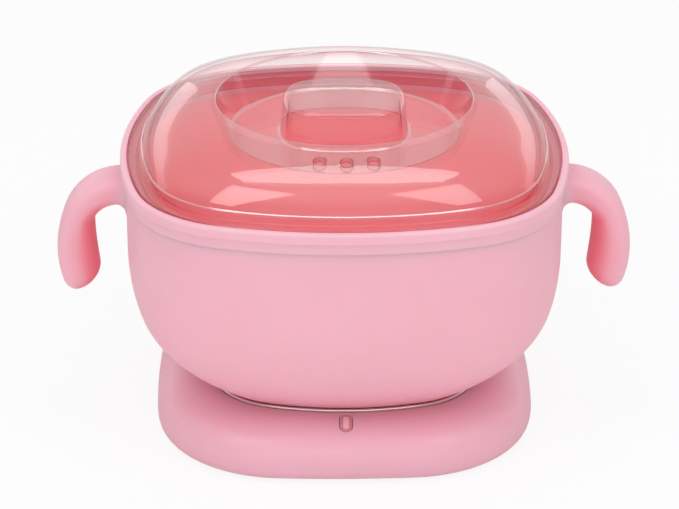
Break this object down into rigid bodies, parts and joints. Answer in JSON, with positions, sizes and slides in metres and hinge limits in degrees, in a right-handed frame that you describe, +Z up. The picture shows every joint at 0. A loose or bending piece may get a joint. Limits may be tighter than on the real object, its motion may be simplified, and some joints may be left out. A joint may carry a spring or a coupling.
{
  "type": "wax warmer pot",
  "caption": "Electric wax warmer: a soft pot with two open ear handles and a clear vented lid, standing on a low heating base with a power key.",
  "frame": {"origin": "middle of the bounding box's underside, where the rubber feet stand", "axes": "+X along the longest side, through both handles; -Y is the front with the power key; +Z up"},
  "size_m": [0.1944, 0.1494, 0.1117],
  "materials": {
    "pink_abs": "satin moulded",
    "pink_rim": "satin moulded",
    "pink_silicone": "soft matt silicone",
    "clear_lid": "clear moulded plastic",
    "grey_rubber": "matt",
    "bright_metal": "polished",
    "steel": "plated",
    "brass_pins": "plated",
    "mica": "mica sheet",
    "fibre_pad": "ceramic fibre",
    "ceramic_white": "glazed",
    "dark_plastic": "moulded",
    "board_green": "solder mask",
    "relay_blue": "moulded",
    "yellow_film": "moulded",
    "led_white": "clear",
    "rose_ring": "satin",
    "brown_wire": "insulation",
    "white_wire": "silicone sleeve",
    "red_wire": "insulation"
  },
  "bodies": {
    "base": {"base_shell": "pink_abs", "base_cover": "pink_abs", "feet": "grey_rubber", "cover_screws": "steel", "plate_seal": "grey_rubber", "heat_plate": "bright_metal", "plate_screws": "steel", "heater_disc": "mica", "insulation_pad": "fibre_pad", "heater_strap": "steel", "strap_screws": "steel", "thermal_cutout": "ceramic_white", "temperature_sensor": "dark_plastic", "control_board": "board_green", "board_screws": "steel", "relay": "relay_blue", "capacitor": "yellow_film", "board_chips": "dark_plastic", "key_light": "led_white", "tact_switch": "dark_plastic", "inlet_socket": "dark_plastic", "inlet_pins": "brass_pins", "mains_wires": "brown_wire", "heater_wires": "white_wire", "sensor_wires": "red_wire"},
    "key": {"tact_plunger": "dark_plastic", "key_cap": "pink_abs", "key_ring": "rose_ring"},
    "pot": {"pot_bowl": "pink_silicone", "contact_plate": "bright_metal", "rim_ring": "pink_rim", "left_handle": "pink_silicone", "right_handle": "pink_silicone"},
    "lid": {"lid": "clear_lid"}
  },
  "joints": [
    {"name": "key_press", "type": "slide", "parent": "base", "child": "key", "axis": [0, 0, -1], "range_m": [0, 0.0005], "stiffness_N_per_m": 400, "springref_m": -0.0025},
    {"name": "pot_lift", "type": "slide", "parent": "base", "child": "pot", "axis": [0, 0, 1], "range_m": [0, 0.12]},
    {"name": "lid_lift", "type": "slide", "parent": "pot", "child": "lid", "axis": [0, 0, 1], "range_m": [0, 0.1]}
  ]
}
